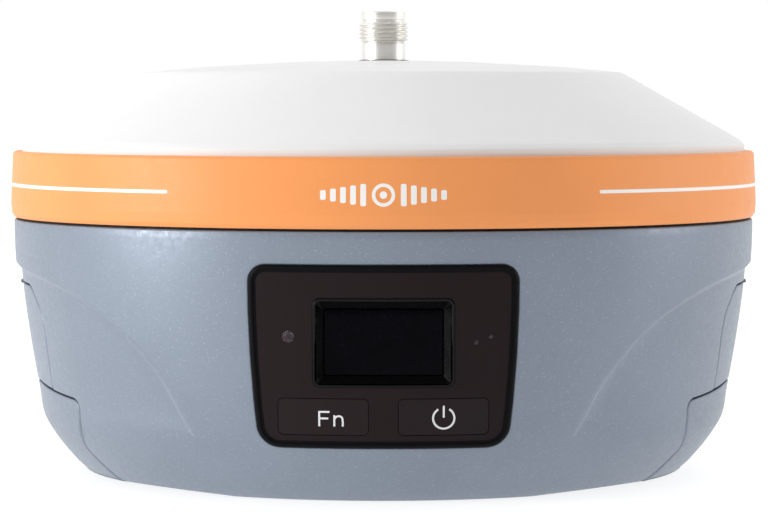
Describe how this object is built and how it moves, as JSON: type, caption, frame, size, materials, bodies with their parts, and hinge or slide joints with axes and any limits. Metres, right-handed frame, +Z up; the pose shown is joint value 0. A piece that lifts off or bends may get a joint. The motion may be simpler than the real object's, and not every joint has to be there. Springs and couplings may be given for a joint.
{
  "type": "gnss receiver",
  "caption": "Round survey receiver with a white radome, orange band, blue-grey housing, front key panel with display, side battery doors, aerial jack on top and pole thread below.",
  "frame": {"origin": "centre of the mouth of the pole thread, level with the rim the receiver stands on", "axes": "+Z up along the pole and the aerial jack; the key panel faces -Y; +X to the right seen from the front"},
  "size_m": [0.164, 0.164, 0.1008],
  "materials": {
    "housing_shell": "satin metallic paint with fine sparkle, blue-grey",
    "band_plastic": "satin orange with a thin printed line",
    "seal_rubber": "matte black",
    "radome_plastic": "satin white",
    "screw_steel": "machined",
    "deck_plastic": "glass-filled black",
    "gasket_rubber": "smooth black",
    "overlay_panel": "smoked black film",
    "carrier_plastic": "black",
    "bezel_plastic": "gloss black",
    "display_glass": "clear over dark display",
    "display_body": "dark",
    "light_pipe": "clear moulded",
    "key_rubber": "satin black-brown with pale legend",
    "circuit_board": "green solder mask",
    "switch_parts": "black with steel top",
    "door_shell": "same paint as the housing",
    "cover_shell": "same paint as the housing",
    "bay_plastic": "black",
    "battery_case": "black with plain label",
    "contact_gold": "gold plated",
    "socket_metal": "nickel plated",
    "socket_plastic": "black",
    "jack_metal": "nickel plated",
    "jack_insulator": "white",
    "jack_contact": "gold plated",
    "clamp_metal": "milled",
    "coax_jacket": "black jacket",
    "ground_metal": "brushed",
    "patch_ceramic": "ceramic with silver face",
    "shield_metal": "tinned",
    "radio_metal": "finned cast case",
    "speaker_body": "black",
    "vent_plastic": "black",
    "label_film": "blank silver-grey label",
    "insert_brass": "turned"
  },
  "bodies": {
    "receiver": {"lower_housing": "housing_shell", "trim_band": "band_plastic", "band_seal": "seal_rubber", "radome": "radome_plastic", "radome_screws": "screw_steel", "antenna_deck": "deck_plastic", "panel_gasket": "gasket_rubber", "panel_overlay": "overlay_panel", "panel_carrier": "carrier_plastic", "display_bezel": "bezel_plastic", "display_window": "display_glass", "display_module": "display_body", "status_light_pipes": "light_pipe", "keypad_board": "circuit_board", "key_switches": "switch_parts", "power_socket": "socket_metal", "serial_socket": "socket_metal", "usb_socket": "socket_metal", "sim_reader": "socket_plastic", "tnc_shell": "jack_metal", "tnc_dielectric": "jack_insulator", "tnc_contact": "jack_contact", "tnc_seal": "seal_rubber", "tnc_clamp_plate": "clamp_metal", "uhf_lead": "coax_jacket", "antenna_ground_plane": "ground_metal", "lower_patch": "patch_ceramic", "upper_patch": "patch_ceramic", "antenna_feed_pins": "contact_gold", "antenna_lna_board": "circuit_board", "lna_shield": "shield_metal", "antenna_screws": "screw_steel", "gnss_coax": "coax_jacket", "main_board": "circuit_board", "gnss_module": "shield_metal", "processor_shield": "shield_metal", "uhf_radio": "radio_metal", "modem_module": "shield_metal", "board_screws": "screw_steel", "speaker": "speaker_body", "vent_plug": "vent_plastic", "label_plate": "label_film", "pole_insert": "insert_brass", "pole_insert_screws": "screw_steel", "housing_screws": "screw_steel", "battery_contacts": "contact_gold", "right_hinge_pins": "screw_steel", "right_battery_bay": "bay_plastic", "right_battery": "battery_case", "left_hinge_pins": "screw_steel", "left_battery_bay": "bay_plastic", "left_battery": "battery_case"},
    "fn_button": {"fn_key": "key_rubber"},
    "power_button": {"power_key": "key_rubber"},
    "right_door": {"right_battery_door": "door_shell", "right_door_seal": "seal_rubber"},
    "left_door": {"left_battery_door": "door_shell", "left_door_seal": "seal_rubber"},
    "right_cover": {"right_port_cover": "cover_shell"},
    "left_cover": {"left_port_cover": "cover_shell"}
  },
  "joints": [
    {"name": "fn_press", "type": "slide", "parent": "receiver", "child": "fn_button", "axis": [0, 1, 0], "range_m": [0, 0.0005], "stiffness_N_per_m": 3000},
    {"name": "power_press", "type": "slide", "parent": "receiver", "child": "power_button", "axis": [0, 1, 0], "range_m": [0, 0.0005], "stiffness_N_per_m": 3000},
    {"name": "right_door_hinge", "type": "hinge", "parent": "receiver", "child": "right_door", "pos_m": [0.0562, 0, 0.0022], "axis": [0, 1, 0], "range_deg": [0, 95]},
    {"name": "right_cover_hinge", "type": "hinge", "parent": "receiver", "child": "right_cover", "pos_m": [0.0793, 0, 0.0416], "axis": [0, -1, 0], "range_deg": [0, 88]},
    {"name": "left_door_hinge", "type": "hinge", "parent": "receiver", "child": "left_door", "pos_m": [-0.0562, 0, 0.0022], "axis": [0, -1, 0], "range_deg": [0, 95]},
    {"name": "left_cover_hinge", "type": "hinge", "parent": "receiver", "child": "left_cover", "pos_m": [-0.0793, 0, 0.0416], "axis": [0, 1, 0], "range_deg": [0, 88]}
  ]
}
